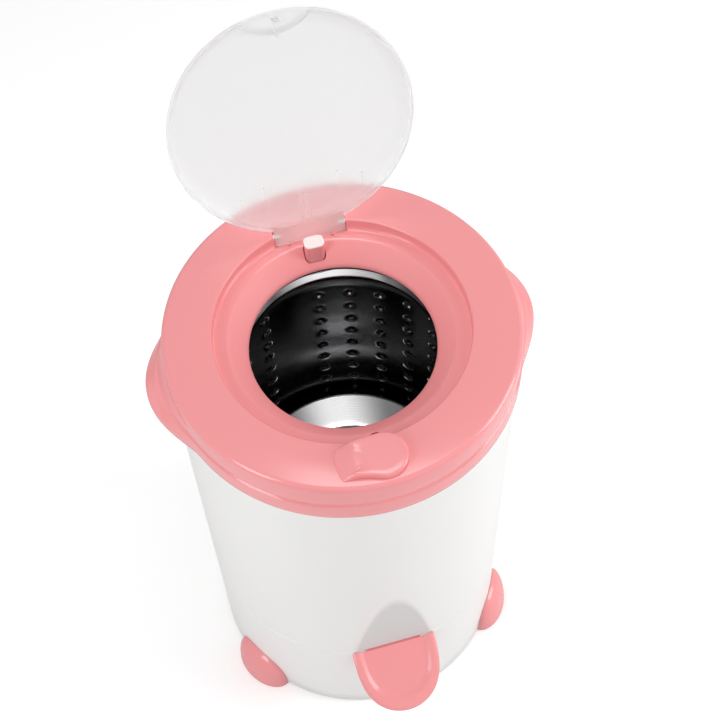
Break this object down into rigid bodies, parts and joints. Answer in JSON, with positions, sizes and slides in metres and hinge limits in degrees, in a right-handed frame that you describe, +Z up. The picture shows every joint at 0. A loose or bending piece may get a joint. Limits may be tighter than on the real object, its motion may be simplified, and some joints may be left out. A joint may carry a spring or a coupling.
{
  "type": "laundry spin dryer",
  "caption": "Round top-loading spin dryer for laundry: tapered casing on three feet with a drain spout in front, ring cover with carrying grips, hinged translucent lid, rotary lid lock and a spinning drum.",
  "frame": {"origin": "on the drum's axis at floor level, under the middle of the base", "axes": "+Z up along the drum's axis, -Y towards the front where the lid lock is, +X to the right seen from the front"},
  "size_m": [0.387, 0.4291, 0.817],
  "materials": {
    "white_plastic": "smooth moulded, slight gloss",
    "pink_plastic": "smooth moulded, slight gloss",
    "pale_plastic": "smooth moulded",
    "frosted_plastic": "translucent, finely frosted",
    "inner_plastic": "moulded",
    "dark_plastic": "moulded",
    "black_rubber": "moulded",
    "stainless": "bright, rolled",
    "plated_steel": "zinc plated",
    "cast_metal": "as cast",
    "winding_core": "laminated core with varnished windings",
    "brake_lining": "pressed friction lining"
  },
  "bodies": {
    "casing": {"base_shell": "white_plastic", "base_pan": "inner_plastic", "body_shell": "white_plastic", "foot_1": "pink_plastic", "foot_2": "pink_plastic", "foot_3": "pink_plastic", "top_cover": "pink_plastic", "hinge_pin_left": "white_plastic", "hinge_pin_right": "white_plastic", "lock_housing": "dark_plastic", "button_spring": "plated_steel", "switch_bracket": "plated_steel", "microswitch": "dark_plastic", "tub": "inner_plastic", "tub_ring": "inner_plastic", "mouth_seal": "black_rubber", "drain_spout": "pink_plastic", "drain_pipe": "inner_plastic", "pipe_seal": "black_rubber", "motor_housing": "cast_metal", "motor_cap": "cast_metal", "lower_bearing": "plated_steel", "upper_bearing": "plated_steel", "stator": "winding_core", "shaft_seal": "black_rubber", "suspension_plate": "plated_steel", "rubber_mount_1": "black_rubber", "rubber_mount_2": "black_rubber", "rubber_mount_3": "black_rubber", "brake_cable": "dark_plastic", "capacitor": "inner_plastic", "cable_gland": "black_rubber", "casing_screw_1": "plated_steel", "casing_screw_2": "plated_steel", "casing_screw_3": "plated_steel", "casing_screw_4": "plated_steel"},
    "lid": {"lid": "frosted_plastic"},
    "lever": {"latch_lever": "pink_plastic", "lever_shaft": "plated_steel", "lever_crank": "plated_steel"},
    "lock_slide": {"lock_slide": "plated_steel"},
    "button": {"interlock_button": "pink_plastic", "button_cap": "pale_plastic"},
    "drum": {"drum": "stainless", "drum_hub": "cast_metal", "drum_shaft": "plated_steel", "hub_nut": "plated_steel", "rotor": "cast_metal", "brake_drum": "cast_metal"},
    "brake_arm": {"brake_arm": "plated_steel", "brake_pad": "brake_lining"}
  },
  "joints": [
    {"name": "lid_hinge", "type": "hinge", "parent": "casing", "child": "lid", "pos_m": [0, 0.123, 0.588], "axis": [-1, 0, 0], "range_deg": [-110, 0]},
    {"name": "lever_turn", "type": "hinge", "parent": "casing", "child": "lever", "pos_m": [0, -0.144, 0.594], "axis": [0, 0, 1], "range_deg": [-90, 0]},
    {"name": "lock_slide_travel", "type": "slide", "parent": "casing", "child": "lock_slide", "axis": [1, 0, 0], "range_m": [0, 0.0172]},
    {"name": "button_press", "type": "slide", "parent": "casing", "child": "button", "axis": [0, 0, -1], "range_m": [0, 0.0097], "deforming": ["button_spring"]},
    {"name": "drum_spin", "type": "hinge", "parent": "casing", "child": "drum", "pos_m": [0, 0, 0.3], "axis": [0, 0, 1], "continuous": true},
    {"name": "brake_pivot", "type": "hinge", "parent": "casing", "child": "brake_arm", "pos_m": [-0.046, -0.0372, 0.189], "axis": [0, 0, 1], "range_deg": [-6.2, 0]}
  ],
  "couplings": [
    {"joint": "lock_slide_travel", "follows": "lever_turn", "m_per_rad": -0.0108},
    {"joint": "brake_pivot", "follows": "lever_turn", "ratio": 0.0667},
    {"joint": "button_press", "follows": "lid_hinge", "m_per_rad": -0.00499}
  ]
}
